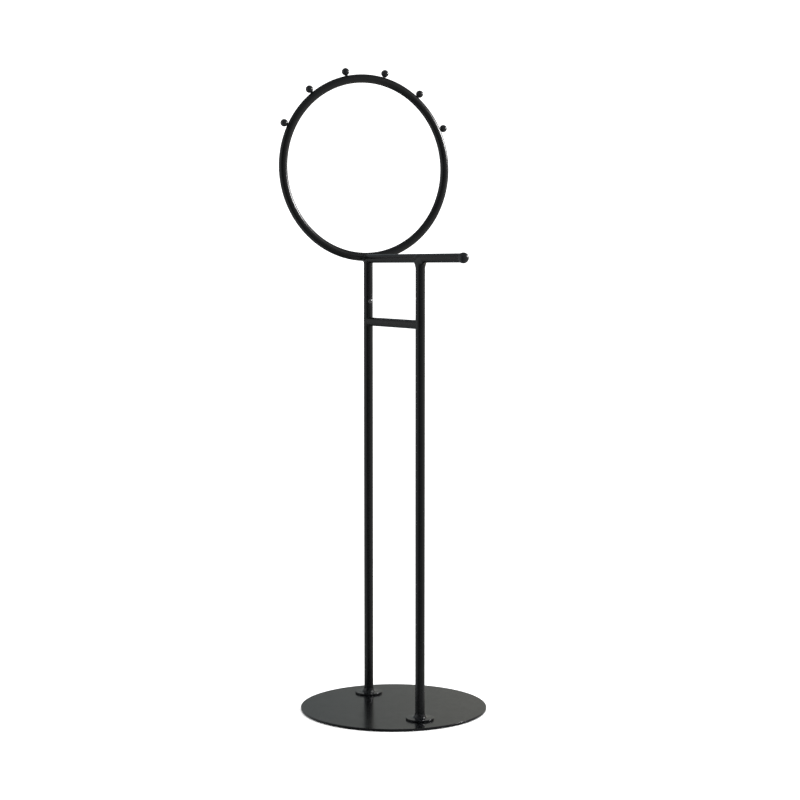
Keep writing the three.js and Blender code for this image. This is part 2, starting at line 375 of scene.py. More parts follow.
def eased(field):
    """A field with its thin features smoothed away."""
    for axis in range(3):
        low = np.take(field, [0, *range(field.shape[axis] - 1)], axis)
        high = np.take(field, [*range(1, field.shape[axis]), field.shape[axis] - 1], axis)
        field = (low + 2 * field + high) / 4
    return field


def weld(name, centre, reach, cell, fields, softness):
    """What softly joins some round bars, without the bars. fields(p) lists the distance to each bar."""
    lines = [np.arange(c - r, c + r, cell) for c, r in zip(centre, reach)]
    grid = np.meshgrid(*lines, indexing="ij")
    parts = fields(grid)
    smooth = parts[0]
    for part in parts[1:]:
        smooth = blended(smooth, part, softness)
    plain = np.minimum.reduce(parts)
    solid = np.maximum.reduce([smooth, -(plain + WELD_ROOT), WELD_EDGE - (plain - smooth)])
    solid = eased(eased(solid))
    for axis in range(3):
        edge = [slice(None)] * 3
        for side in (0, -1):
            edge[axis] = side
            solid[tuple(edge)] = cell
    points, faces = surface_net(solid, [line[0] for line in lines], cell)
    piece = make_object(name, points, faces)
    remesh = piece.modifiers.new("remesh", "REMESH")
    remesh.mode = "VOXEL"
    remesh.voxel_size = cell * VOXEL_SHARE
    apply_modifiers(piece)
    finish_piece(piece, frame_coat, [], WELD_CREASE)


# ---- materials ----

class Nodes:
    """A material's or a world's node tree, with short ways to add to it."""

    def __init__(self, tree):
        self.tree = tree
        tree.nodes.clear()

    def add(self, kind, **settings):
        node = self.tree.nodes.new(kind)
        for key, value in settings.items():
            setattr(node, key, value)
        return node

    def link(self, source, target):
        self.tree.links.new(source, target)

    def noise(self, place, scale, detail=2.0, roughness=0.5):
        node = self.add("ShaderNodeTexNoise")
        node.inputs["Scale"].default_value = scale
        node.inputs["Detail"].default_value = detail
        node.inputs["Roughness"].default_value = roughness
        self.link(place, node.inputs["Vector"])
        return node.outputs["Fac"]

    def ranged(self, value, low, high, start=0.3, end=0.7):
        node = self.add("ShaderNodeMapRange")
        node.inputs["From Min"].default_value = start
        node.inputs["From Max"].default_value = end
        node.inputs["To Min"].default_value = low
        node.inputs["To Max"].default_value = high
        self.link(value, node.inputs["Value"])
        return node.outputs["Result"]

    def mixed(self, factor, first, second):
        """Two colours mixed. Each is a fixed colour or a socket."""
        node = self.add("ShaderNodeMix", data_type="RGBA")
        self.link(factor, node.inputs["Factor"])
        for name, colour in (("A", first), ("B", second)):
            if isinstance(colour, tuple):
                node.inputs[name].default_value = (*colour, 1)
            else:
                self.link(colour, node.inputs[name])
        return node.outputs["Result"]

    def bump(self, height, distance):
        node = self.add("ShaderNodeBump")
        node.inputs["Distance"].default_value = distance
        node.inputs["Strength"].default_value = 1
        self.link(height, node.inputs["Height"])
        return node.outputs["Normal"]


PATCH_SCALE = 22
GLOSS_SCALE = 55


def coat(name, dark, light, roughness, peel_size, peel_depth, specular=0.5, metallic=0.0):
    """A sprayed or powdered finish: fine orange peel, and a patchy colour and gloss. peel_size is the
    width of the peel's bumps."""
    material = bpy.data.materials.new(name)
    material.use_nodes = True
    nodes = Nodes(material.node_tree)
    place = nodes.add("ShaderNodeTexCoord").outputs["Object"]
    shader = nodes.add("ShaderNodeBsdfPrincipled")
    shader.inputs["Metallic"].default_value = metallic
    shader.inputs["Specular IOR Level"].default_value = specular
    patches = nodes.ranged(nodes.noise(place, PATCH_SCALE, 3.0), 0, 1)
    nodes.link(nodes.mixed(patches, dark, light), shader.inputs["Base Color"])
    gloss = nodes.noise(place, GLOSS_SCALE, 4.0, 0.6)
    nodes.link(nodes.ranged(gloss, *roughness), shader.inputs["Roughness"])
    peel = nodes.noise(place, 1 / peel_size, 2.0)
    nodes.link(nodes.bump(peel, peel_depth), shader.inputs["Normal"])
    output = nodes.add("ShaderNodeOutputMaterial")
    nodes.link(shader.outputs["BSDF"], output.inputs["Surface"])
    return material


frame_coat = coat(
    "frame_coat",
    dark=(0.0020, 0.0023, 0.0026),
    light=(0.0034, 0.0037, 0.0040),
    roughness=(0.2, 0.3),
    peel_size=1.1 * MM,
    peel_depth=0.03 * MM,
)
base_coat = coat(
    "base_coat",
    dark=(0.0026, 0.0030, 0.0036),
    light=(0.0040, 0.0044, 0.0050),
    roughness=(0.18, 0.23),
    peel_size=0.9 * MM,
    peel_depth=0.008 * MM,
)
flange_coat = coat(
    "flange_coat",
    dark=(0.0026, 0.0030, 0.0036),
    light=(0.0040, 0.0044, 0.0050),
    roughness=(0.1, 0.14),
    peel_size=0.9 * MM,
    peel_depth=0.008 * MM,
)
ball_coat = coat(
    "ball_coat",
    dark=(0.0060, 0.0066, 0.0075),
    light=(0.0080, 0.0086, 0.0095),
    roughness=(0.14, 0.2),
    peel_size=1.2 * MM,
    peel_depth=0.01 * MM,
)
black_screw = coat(
    "black_screw",
    dark=(0.15, 0.15, 0.155),
    light=(0.24, 0.24, 0.245),
    roughness=(0.2, 0.3),
    peel_size=0.6 * MM,
    peel_depth=0.01 * MM,
    metallic=0.9,
)
zinc_steel = coat(
    "zinc_steel",
    dark=(0.50, 0.50, 0.48),
    light=(0.68, 0.69, 0.68),
    roughness=(0.24, 0.4),
    peel_size=0.8 * MM,
    peel_depth=0.01 * MM,
    metallic=1.0,
)
# Steel for the joiners, coloured near black. Where it shows through the seam between the post tubes,
# this dark colour stands in for the shade in that groove. It is partly the joiner's own colour and
# partly painted shade.
joiner_steel_painted_shade = coat(
    "joiner_steel_painted_shade",
    dark=(0.02, 0.02, 0.021),
    light=(0.05, 0.05, 0.05),
    roughness=(0.5, 0.7),
    peel_size=0.8 * MM,
    peel_depth=0.02 * MM,
    metallic=0.8,
)
pad_rubber = coat(
    "pad_rubber",
    dark=(0.008, 0.008, 0.008),
    light=(0.016, 0.016, 0.016),
    roughness=(0.7, 0.9),
    peel_size=0.7 * MM,
    peel_depth=0.08 * MM,
    specular=0.3,
)


# ---- base ----

PLATE_LOWER_EDGE = 0.8 * MM
PLATE_UPPER_EDGE = 1.0 * MM
PAD_EDGE = 0.3 * MM


def build_base():
    """The plate, countersunk from below for the foot bolts, and the pad with its access holes."""
    low, high = PLATE_LOW.z, PLATE_HIGH.z
    outline = rounded([
        (0, low, 0),
        (PLATE_RADIUS, low, PLATE_LOWER_EDGE),
        (PLATE_RADIUS, high, PLATE_UPPER_EDGE),
        (0, high, 0),
    ])
    plate = make_object("base_plate_fine", *lathe(outline, PLATE_SEGMENTS))
    sinks = []
    for x in (LEFT_X, RIGHT_X):
        sink_top = low + GAP + BOLT_HEAD_HEIGHT
        sink = [
            (0, low - MM),
            (BOLT_HEAD_RADIUS + GAP, low - MM),
            (BOLT_HEAD_RADIUS + GAP, low + GAP),
            (BOLT_RADIUS + GAP, sink_top),
            (BOLT_RADIUS + GAP, high + MM),
            (0, high + MM),
        ]
        points, faces = lathe(sink, SMALL_SEGMENTS)
        sinks.append(make_object("sink", shift(points, x=x), faces))
    cut(plate, sinks)
    finish_piece(plate, base_coat, ["base_plate"])

    outline = rounded([
        (0, PAD_LOW.z, 0),
        (PAD_RADIUS, PAD_LOW.z, PAD_EDGE),
        (PAD_RADIUS, PAD_HIGH.z, PAD_EDGE),
        (0, PAD_HIGH.z, 0),
    ])
    pad = make_object("base_pad_fine", *lathe(outline, PLATE_SEGMENTS))
    holes = []
    for x in (LEFT_X, RIGHT_X):
        bottom, top = PAD_LOW.z - MM, PAD_HIGH.z + MM
        points, faces = rod(ACCESS_HOLE_RADIUS, bottom, top, SMALL_SEGMENTS)
        holes.append(make_object("hole", shift(points, x=x), faces))
    cut(pad, holes)
    finish_piece(pad, pad_rubber, ["base_pad"])


# ---- feet ----

FLANGE_LOWER_EDGE = 0.3 * MM
FLANGE_UPPER_EDGE = 0.9 * MM
COLLAR_FLARE = 5 * MM
COLLAR_PROUD = 0.35 * MM  # how far the collar's top stands out from the bore
COLLAR_STEPS = 16

# The collar's weld bead: ripples all round it, over a few broad bulges.
RIPPLE_COUNT = 13
RIPPLE_DEPTH = 0.55 * MM
RIPPLE_TOP = 1 / 1.15  # share of the collar's height where they end
RIPPLE_FULLNESS = 0.7  # the smaller, the sooner they have their full depth
RIPPLE_WANDER = 1.4  # how uneven their spacing is
WANDER_COUNT = 3
RIPPLE_LEAN = 2.2  # how far they slant from the bottom to the top, in radians of their phase
RIPPLE_START = {"left": pi / 2, "right": 0}
BULGE_COUNT = 5
BULGE_SHARE = 0.6  # of the ripples' depth
BULGE_START = 1.0


def build_flange(side, x):
    """The flange's disc, and the weld collar that rises from it to the post, with the bead's ripples."""
    bore = POST_RADIUS + GAP
    top = FLANGE_LOW + FLANGE_THICKNESS
    collar_height = FLANGE_HIGH - top
    outline = rounded([
        (bore, FLANGE_LOW, 0),
        (FLANGE_RADIUS, FLANGE_LOW, FLANGE_LOWER_EDGE),
        (FLANGE_RADIUS, top, FLANGE_UPPER_EDGE),
        (bore, top, 0),
    ])[:-1]
    collar_start = len(outline)
    for i in range(COLLAR_STEPS + 1):
        angle = i / COLLAR_STEPS * pi / 2
        radius = bore + COLLAR_PROUD + COLLAR_FLARE * (1 - sin(angle))
        outline.append((radius, top + collar_height * (1 - cos(angle))))
    outline.append((bore, FLANGE_HIGH))
    points, faces = lathe(outline, COLLAR_SEGMENTS)
    for i in range(COLLAR_STEPS + 1):
        height = i / COLLAR_STEPS
        swell = sin(pi * min(height / RIPPLE_TOP, 1)) ** RIPPLE_FULLNESS
        start = (collar_start + i) * COLLAR_SEGMENTS
        ring = slice(start, start + COLLAR_SEGMENTS)
        around = np.arctan2(points[ring, 1], points[ring, 0])
        wander = RIPPLE_WANDER * np.sin(WANDER_COUNT * around) - RIPPLE_LEAN * height
        ripple = 0.5 + 0.5 * np.cos(RIPPLE_COUNT * around + wander + RIPPLE_START[side])
        ripple += BULGE_SHARE * np.sin(BULGE_COUNT * around + BULGE_START)
        away = np.hypot(points[ring, 0], points[ring, 1])
        points[ring, :2] *= (1 + RIPPLE_DEPTH * swell * ripple / away)[:, None]
    piece = make_object(f"foot_flange_{side}_fine", shift(points, x=x), faces)
    finish_piece(piece, flange_coat, [f"foot_flange_{side}"])


BOLT_HEAD_EDGE = 0.2 * MM
BOLT_END_EDGE = 0.6 * MM
PLUG_EDGE = 0.5 * MM


def build_foot_bolt(side, x):
    """The countersunk bolt that comes up through the base."""
    low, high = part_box(f"foot_bolt_{side}")
    outline = rounded([
        (0, low.z, 0),
        (BOLT_HEAD_RADIUS, low.z, BOLT_HEAD_EDGE),
        (BOLT_RADIUS, low.z + BOLT_HEAD_HEIGHT, BOLT_HEAD_EDGE),
        (BOLT_RADIUS, high.z, BOLT_END_EDGE),
        (0, high.z, 0),
    ])
    points, faces = lathe(outline, SMALL_SEGMENTS)
    bolt = make_object(f"foot_bolt_{side}_fine", shift(points, x=x), faces)
    points, faces = rod(HEX_RADIUS, low.z - MM, low.z + HEX_DEPTH, HEX_SIDES)
    cut(bolt, [make_object("hex", shift(points, x=x), faces)])
    finish_piece(bolt, zinc_steel, [f"foot_bolt_{side}"])


def build_foot_plug(side, x):
    """The plug inside the post's foot, bored for the bolt."""
    low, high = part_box(f"foot_plug_{side}")
    radius = half(f"foot_plug_{side}").y
    outline = rounded([
        (0, low.z, 0),
        (radius, low.z, PLUG_EDGE),
        (radius, high.z, PLUG_EDGE),
        (0, high.z, 0),
    ])
    points, faces = lathe(outline, SMALL_SEGMENTS)
    plug = make_object(f"foot_plug_{side}_fine", shift(points, x=x), faces)
    bolt_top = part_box(f"foot_bolt_{side}")[1].z
    points, faces = rod(BOLT_RADIUS + GAP, low.z - MM, bolt_top + MM, SMALL_SEGMENTS)
    cut(plug, [make_object("bore", shift(points, x=x), faces)])
    finish_piece(plug, zinc_steel, [f"foot_plug_{side}"])


# ---- posts and bars ----

TUBE_LIP = 0.3 * MM
SEAM_LIP = 0.7 * MM  # how far the posts' ends are rounded, which makes a groove at the seam

# Rows of points above and below the screws, which keep the tubes smooth beside the bores.
POST_ROWS = (-6 * MM, -4 * MM, 4 * MM, 6 * MM)
JOINER_ROWS = (-5 * MM, 5 * MM)


def pipe(radius, wall, low, high, lip=TUBE_LIP, rings=()):
    """A tube along Z with its edges eased at both ends. rings adds rows of points at those heights."""
    bore = radius - wall
    corners = [(radius, low, lip), (radius, high, lip), (bore, high, lip), (bore, low, lip)]
    outline = rounded(corners, closed=True, steps=LIP_STEPS)
    up = [(radius, z) for z in rings]
    down = [(bore, z) for z in reversed(rings)]
    quarter = len(outline) // 4
    return outline[:quarter] + up + outline[quarter:3 * quarter] + down + outline[3 * quarter:]


def screw_bore(x, inward):
    points, faces = rod(SCREW_RADIUS + GAP, 0, POST_RADIUS + 2 * MM, SMALL_SEGMENTS)
    return make_object("screw_bore", shift(along_x(points, inward), x=x, z=SCREW_Z), faces)


def build_lower_post(side, x, inward):
    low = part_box(f"post_{side}")[0].z
    rings = [SCREW_Z + row for row in POST_ROWS]
    tube = pipe(POST_RADIUS, TUBE_WALL, low, SEAM_LOW, SEAM_LIP, rings)
    points, faces = lathe(tube, TUBE_SEGMENTS)
    piece = make_object(f"post_{side}_fine", shift(points, x=x), faces)
    cut(piece, [screw_bore(x, inward)])
    finish_piece(piece, frame_coat, [f"post_{side}"])


def build_joiner(side, x, inward):
    low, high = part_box(f"joiner_{side}")
    radius = half(f"joiner_{side}").y
    rings = [SCREW_Z + row for row in JOINER_ROWS]
    points, faces = lathe(pipe(radius, JOINER_WALL, low.z, high.z, rings=rings), TUBE_SEGMENTS)
    piece = make_object(f"joiner_{side}_fine", shift(points, x=x), faces)
    cut(piece, [screw_bore(x, inward)])
    finish_piece(piece, joiner_steel_painted_shade, [f"joiner_{side}"])


SCREW_END_EDGE = 0.4 * MM
SCREW_HEAD_EDGE = 0.2 * MM
SCREW_HEAD_SIDE = 0.6 * MM  # height of the head's side, below its crown
CROWN_STEPS = 10


def build_joint_screw(side, x, inward):
    """A button-head screw with a hexagon socket."""
    seat = POST_RADIUS + GAP
    end = seat - SCREW_LENGTH
    top = seat + SCREW_HEAD_HEIGHT
    crown = SCREW_HEAD_HEIGHT - SCREW_HEAD_SIDE
    outline = [
        (0, end),
        (SCREW_RADIUS - SCREW_END_EDGE, end),
        (SCREW_RADIUS, end + SCREW_END_EDGE),
        (SCREW_RADIUS, seat),
        (SCREW_HEAD_RADIUS - SCREW_HEAD_EDGE, seat),
        (SCREW_HEAD_RADIUS, seat + SCREW_HEAD_EDGE),
    ]
    for i in range(CROWN_STEPS):
        angle = i / CROWN_STEPS * pi / 2
        height = seat + SCREW_HEAD_SIDE + crown * sin(angle)
        outline.append((SCREW_HEAD_RADIUS * cos(angle), height))
    outline.append((0, top))
    points, faces = lathe(outline, SMALL_SEGMENTS)
    points = shift(along_x(points, inward), x=x, z=SCREW_Z)
    piece = make_object(f"joint_screw_{side}_fine", points, faces)
    points, faces = rod(HEX_RADIUS, top - HEX_DEPTH, top + MM, HEX_SIDES)
    cut(piece, [make_object("hex", shift(along_x(points, inward), x=x, z=SCREW_Z), faces)])
    finish_piece(piece, black_screw, [f"joint_screw_{side}"])


POST_CAP_BELOW_RAIL = 3 * MM  # the sides of a post's saddle end this far below the rail's axis
COPE_REACH = 30 * MM  # length of a tube's end that is drawn out to meet another tube


def build_post_top(side, x):
    """The upper tube of a post, coped to what stands on it."""
    reference = RAIL_Z - COPE_REACH
    tube = pipe(POST_RADIUS, TUBE_WALL, SEAM_HIGH, RAIL_Z, SEAM_LIP, [reference])
    points, faces = lathe(tube, TUBE_SEGMENTS)
    bare_x = points[:, 0]
    bare_y = points[:, 1]
    clear = BAR_RADIUS + GAP
    under_rail = np.sqrt(np.clip(clear ** 2 - bare_y ** 2, 0, None))
    end = RAIL_Z - np.maximum(under_rail, POST_CAP_BELOW_RAIL)
    if side == "left":
        ball = BALL_RADIUS + GAP
        ball_x = bare_x + x - RAIL_NEAR_X
        end_ball = RAIL_Z - np.sqrt(np.clip(ball ** 2 - ball_x ** 2 - bare_y ** 2, 0, None))
        ring_x = bare_x + x - HOOP_CENTRE.x
        under_hoop = np.sqrt(np.clip(clear ** 2 - ring_x ** 2, 0, None))
        hoop_low = HOOP_CENTRE.z - HOOP_RADIUS
        end_hoop = np.where(np.abs(ring_x) < clear, hoop_low - under_hoop, RAIL_Z)
        end = np.where(ball_x > RAIL_END_INSET, end, RAIL_Z)
        end = np.minimum.reduce([end, end_ball, end_hoop])
    share = np.clip((points[:, 2] - reference) / COPE_REACH, 0, 1)
    points[:, 2] = np.where(share > 0, reference + share * (end - reference), points[:, 2])
    piece = make_object(f"post_top_{side}_fine", shift(points, x=x), faces)
    finish_piece(piece, frame_coat, [f"post_top_{side}"])


def build_mid_bar():
    """The bar between the posts, coped to them at both ends."""
    reach = RIGHT_X
    reference = reach - COPE_REACH
    bar = pipe(BAR_RADIUS, TUBE_WALL, -reach, reach, rings=[-reference, reference])
    points, faces = lathe(bar, TUBE_SEGMENTS)
    points = along_x(points)
    clear = POST_RADIUS + GAP
    end = reach - np.sqrt(clear ** 2 - points[:, 1] ** 2)
    share = np.clip((np.abs(points[:, 0]) - reference) / COPE_REACH, 0, 1)
    out = reference + share * (end - reference)
    points[:, 0] = np.where(share > 0, np.sign(points[:, 0]) * out, points[:, 0])
    piece = make_object("mid_bar_fine", shift(points, z=MID_BAR_Z), faces)
    finish_piece(piece, frame_coat, ["mid_bar"])


def build_rail():
    low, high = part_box("rail")
    points, faces = lathe(pipe(BAR_RADIUS, TUBE_WALL, low.x, high.x), TUBE_SEGMENTS)
    piece = make_object("rail_fine", shift(along_x(points), z=RAIL_Z), faces)
    finish_piece(piece, frame_coat, ["rail"])


BALL_LIP = 0.25 * MM
BALL_STEPS = 36


def build_rail_ball(side, x, towards_rail):
    """A turned ball, bored to take the end of the rail. The left one gives way to the hoop."""
    seat = RAIL_END_INSET - GAP
    bore = BAR_RADIUS + GAP
    mouth = asin((bore + BALL_LIP) / BALL_RADIUS)
    outline = [(0, -BALL_RADIUS)]
    for i in range(1, BALL_STEPS + 1):
        angle = pi - (pi - mouth) * i / BALL_STEPS
        outline.append((BALL_RADIUS * sin(angle), BALL_RADIUS * cos(angle)))
    outline += [(bore, BALL_RADIUS * cos(mouth) - BALL_LIP), (bore, seat), (0, seat)]
    points, faces = lathe(outline, TUBE_SEGMENTS)
    points = shift(along_x(points, towards_rail), x=x, z=RAIL_Z)
    piece = make_object(f"rail_ball_{side}_fine", points, faces)
    if side == "left":
        cut(piece, [make_object("hoop_space", *torus(BAR_RADIUS + GAP, HOOP_SEGMENTS, TUBE_SEGMENTS))])
    finish_piece(piece, ball_coat, [f"rail_ball_{side}"])


# ---- hoop and knobs ----

def knob_angle(index):
    return (index + 1) * pi / (KNOB_COUNT + 1)


def build_hoop():
    """The hoop's tube, hollow, with its outer wall bored for the knobs' studs."""
    outer, outer_faces = torus(BAR_RADIUS, HOOP_SEGMENTS, TUBE_SEGMENTS // 2)
    hollow = BAR_RADIUS - TUBE_WALL
    inner, inner_faces = torus(hollow, HOOP_SEGMENTS // 2, TUBE_SEGMENTS // 4, outward=False)
    inner_faces = [[index + len(outer) for index in face] for face in inner_faces]
    piece = make_object("hoop_fine", np.concatenate((outer, inner)), outer_faces + inner_faces)
    holes = []
    bore = STUD_RADIUS + GAP
    beyond = HOOP_RADIUS + 2 * BAR_RADIUS
    for i in range(KNOB_COUNT):
        points, faces = rod(bore, HOOP_RADIUS, beyond, STUD_HOLE_SEGMENTS)
        holes.append(make_object("stud_hole", on_hoop(points, knob_angle(i)), faces))
    cut(piece, holes)
    finish_piece(piece, frame_coat, ["hoop"])


KNOB_STEPS = 28
KNOB_START = 0.03  # radians from the neck's top to the first ring of points on the ball
KNOB_NECK_EDGE = 0.3 * MM
KNOB_FLARE = 0.5 * MM  # of the neck's foot
KNOB_FLARE_MIDDLE = 0.1 * MM
KNOB_FLARE_HEIGHT = 0.8 * MM
KNOB_FLARE_MIDDLE_HEIGHT = 0.35 * MM
SADDLE_HEIGHT = KNOB_NECK_LENGTH + MM  # above the foot, where the hoop's round no longer shows
SADDLE_GAP = 0.05 * MM


def build_knob(index):
    """A ball knob on a short neck, whose foot fits the round of the hoop."""
    foot = HOOP_RADIUS + BAR_RADIUS
    neck_height = sqrt(KNOB_RADIUS ** 2 - KNOB_NECK_RADIUS ** 2)
    neck_top = KNOB_RING_RADIUS - neck_height
    bore = STUD_RADIUS + GAP
    deep = KNOB_RING_RADIUS + STUD_REACH
    outline = [
        (0, deep),
        (bore, deep),
        (bore, foot),
        (KNOB_NECK_RADIUS + KNOB_FLARE, foot),
        (KNOB_NECK_RADIUS + KNOB_FLARE_MIDDLE, foot + KNOB_FLARE_MIDDLE_HEIGHT),
        (KNOB_NECK_RADIUS, foot + KNOB_FLARE_HEIGHT),
        (KNOB_NECK_RADIUS, neck_top - KNOB_NECK_EDGE),
    ]
    start = KNOB_START - asin(neck_height / KNOB_RADIUS)
    for i in range(KNOB_STEPS):
        angle = start + (i / KNOB_STEPS) * (pi / 2 - start)
        outline.append((KNOB_RADIUS * cos(angle), KNOB_RING_RADIUS + KNOB_RADIUS * sin(angle)))
    outline.append((0, KNOB_RING_RADIUS + KNOB_RADIUS))
    points, faces = lathe(outline, SMALL_SEGMENTS)
    x, y, z = points.T
    tube_top = np.sqrt(np.clip(BAR_RADIUS ** 2 - x ** 2, 0, None))
    surface = np.sqrt((HOOP_RADIUS + tube_top) ** 2 - y ** 2)
    blend = np.clip(1 - (z - foot) / SADDLE_HEIGHT, 0, 1)
    points[:, 2] = z + (surface + SADDLE_GAP - foot) * blend
    piece = make_object(f"knob_{index + 1}_fine", on_hoop(points, knob_angle(index)), faces)
    finish_piece(piece, ball_coat, [f"knob_{index + 1}"])


THREAD_PITCH = 0.8 * MM
THREAD_DEPTH = 0.45 * MM
THREAD_ROWS = 8  # rows of points to each turn of the thread
THREAD_SEGMENTS = 48


def threaded(radius, pitch, depth, bottom, top):
    """A screw thread as a closed rod between two heights."""
    rows = int((top - bottom) / pitch * THREAD_ROWS)
    outline = [(radius, bottom + (top - bottom) * i / rows) for i in range(rows + 1)]
    points, faces = lathe([(0, bottom)] + outline + [(0, top)], THREAD_SEGMENTS)
    away = np.hypot(points[:, 0], points[:, 1])
    around = np.arctan2(points[:, 1], points[:, 0]) / (2 * pi)
    phase = (points[:, 2] - bottom) / pitch - around
    tooth = np.abs(2 * (phase - np.floor(phase)) - 1)
    fade = np.clip(np.minimum(points[:, 2] - bottom, top - points[:, 2]) / pitch, 0, 1)
    sunk = depth * (tooth + (1 - fade)) / 2
    scale = np.where(away > TINY, 1 - sunk / np.maximum(away, TINY), 1)
    points[:, :2] *= scale[:, None]
    return points, faces


def build_stud(index):
    low = HOOP_RADIUS + BAR_RADIUS - STUD_REACH
    high = KNOB_RING_RADIUS + STUD_REACH - GAP
    points, faces = threaded(STUD_RADIUS, THREAD_PITCH, THREAD_DEPTH, low, high)
    piece = make_object(f"knob_stud_{index + 1}_fine", on_hoop(points, knob_angle(index)), faces)
    finish_piece(piece, zinc_steel, [f"knob_stud_{index + 1}"])


# ---- the welds ----

DOME_TOP = RAIL_Z - 3 * MM  # the right post ends in a dome for its weld, below the rail's top
DOME_EDGE = POST_RADIUS - MM


def build_welds():
    """The fillets where the tubes meet."""

    def right_joint(p):
        post = domed_post_field(p, RIGHT_X, DOME_TOP, DOME_EDGE)
        return [post, cylinder_field(p, (0, 0, RAIL_Z), 0, BAR_RADIUS)]

    weld(
        "weld_right_post_rail",
        centre=(RIGHT_X, 0, RAIL_Z - 12 * MM),
        reach=(32 * MM, 18 * MM, 24 * MM),
        cell=0.4 * MM,
        fields=right_joint,
        softness=18 * MM,
    )

    def left_joint(p):
        post = cylinder_field(p, (LEFT_X, 0, 0), 2, POST_RADIUS)
        post = np.maximum(post, p[2] - (RAIL_Z - POST_CAP_BELOW_RAIL))
        bar = cylinder_field(p, (0, 0, RAIL_Z), 0, BAR_RADIUS)
        rail = np.maximum(bar, (RAIL_NEAR_X + RAIL_END_INSET) - p[0])
        return [post, rail, ball_field(p, (RAIL_NEAR_X, 0, RAIL_Z), BALL_RADIUS), hoop_field(p)]

    weld(
        "weld_left_post_hoop",
        centre=(LEFT_X - 2 * MM, 0, RAIL_Z),
        reach=(24 * MM, 20 * MM, 16 * MM),
        cell=0.3 * MM,
        fields=left_joint,
        softness=2 * MM,
    )

    for side, x, inward in SIDES:
        def bar_joint(p):
            post = cylinder_field(p, (x, 0, 0), 2, POST_RADIUS)
            bar = cylinder_field(p, (0, 0, MID_BAR_Z), 0, BAR_RADIUS)
            return [post, np.maximum(bar, inward * (x - p[0]))]

        weld(
            f"weld_mid_bar_{side}",
            centre=(x + inward * 8 * MM, 0, MID_BAR_Z),
            reach=(9 * MM, 14 * MM, 14 * MM),
            cell=0.3 * MM,
            fields=bar_joint,
            softness=2 * MM,
        )


build_base()
for side, x, inward in SIDES:
    build_flange(side, x)
    build_foot_bolt(side, x)
    build_foot_plug(side, x)
    build_lower_post(side, x, inward)
    build_joiner(side, x, inward)
    build_joint_screw(side, x, inward)
    build_post_top(side, x)
build_mid_bar()
build_rail()
build_rail_ball("left", RAIL_NEAR_X, 1)
build_rail_ball("right", RAIL_FAR_X, -1)
build_hoop()
for index in range(KNOB_COUNT):
    build_knob(index)
    build_stud(index)
build_welds()


# ---- floor, light and camera ----

CAMERA_AZIMUTH = 64.658
CAMERA_YAW = -0.2072
CAMERA_PITCH = 4.297
CAMERA_DISTANCE = 4.2924
CAMERA_HEIGHT = 1.0739
CAMERA_LENS = 80.712


def build_camera():
    data = bpy.data.cameras.new("camera")
    data.lens = CAMERA_LENS
    data.sensor_width = 36
    camera = bpy.data.objects.new("camera", data)
    bpy.context.scene.collection.objects.link(camera)
    turn = radians(CAMERA_AZIMUTH)
    camera.location = (sin(turn) * CAMERA_DISTANCE, -cos(turn) * CAMERA_DISTANCE, CAMERA_HEIGHT)
    camera.rotation_euler = (radians(90 - CAMERA_PITCH), 0, radians(CAMERA_AZIMUTH + CAMERA_YAW))
    bpy.context.scene.camera = camera


# Level directions as the camera sees them: away from it, and across to the right.
AWAY = Vector((-sin(radians(CAMERA_AZIMUTH)), cos(radians(CAMERA_AZIMUTH)), 0))
ACROSS = Vector((cos(radians(CAMERA_AZIMUTH)), sin(radians(CAMERA_AZIMUTH)), 0))

CEILING_TONE = (0.20, 0.21, 0.21)
HIGH_BACK_TONE = (0.12, 0.125, 0.13)  # behind the rack, above the bright part


def surroundings(nodes, direction):
    """What the finishes mirror in each direction: a studio of bright and dark walls."""

    def towards(axis):
        node = nodes.add("ShaderNodeVectorMath", operation="DOT_PRODUCT")
        nodes.link(direction, node.inputs[0])
        node.inputs[1].default_value = axis
        return node.outputs["Value"]

    def wall(stops):
        """Tones from left to right, at places from -1 to 1 across the view."""
        ramp = nodes.add("ShaderNodeValToRGB")
        nodes.link(nodes.ranged(towards(ACROSS), 0, 1, -1, 1), ramp.inputs["Fac"])
        elements = ramp.color_ramp.elements
        for i, (place, colour) in enumerate(stops):
            element = elements[i] if i < 2 else elements.new(1)
            element.position = (place + 1) / 2
            element.color = (*colour, 1)
        return ramp.outputs["Color"]

    # In front: a bright wall on the left, a dark gap, then slowly brighter.
    front = wall([
        (-1, (0.58, 0.61, 0.62)),
        (-0.74, (0.26, 0.265, 0.27)),
        (-0.44, (0.02, 0.021, 0.021)),
        (-0.24, (0.02, 0.021, 0.021)),
        (0.1, (0.18, 0.184, 0.186)),
        (0.66, (0.27, 0.275, 0.278)),
        (1, (0.52, 0.52, 0.51)),
    ])
    # Behind the rack: cool on the left, warm on the right, and dim high up.
    back = wall([
        (-1, (0.185, 0.185, 0.185)),
        (-0.45, (0.175, 0.18, 0.185)),
        (-0.15, (0.13, 0.172, 0.20)),
        (0.15, (0.555, 0.535, 0.475)),
        (1, (0.53, 0.51, 0.47)),
    ])
    up = towards(Vector((0, 0, 1)))
    back = nodes.mixed(nodes.ranged(up, 0, 1, 0.3, 0.55), back, HIGH_BACK_TONE)
    walls = nodes.mixed(nodes.ranged(towards(AWAY), 0, 1, 0.35, 0.85), front, back)
    return nodes.mixed(nodes.ranged(up, 0, 1, 0.45, 0.9), walls, CEILING_TONE)


FLOOR_REACH = 30
FLOOR_Z = -0.1 * MM
FLOOR_COLOUR = (0.9, 0.9, 0.9)
FLOOR_MIRROR = 0.9  # how bright the walls are in the floor, as the finishes see it
WORLD_STRENGTH = 1.6


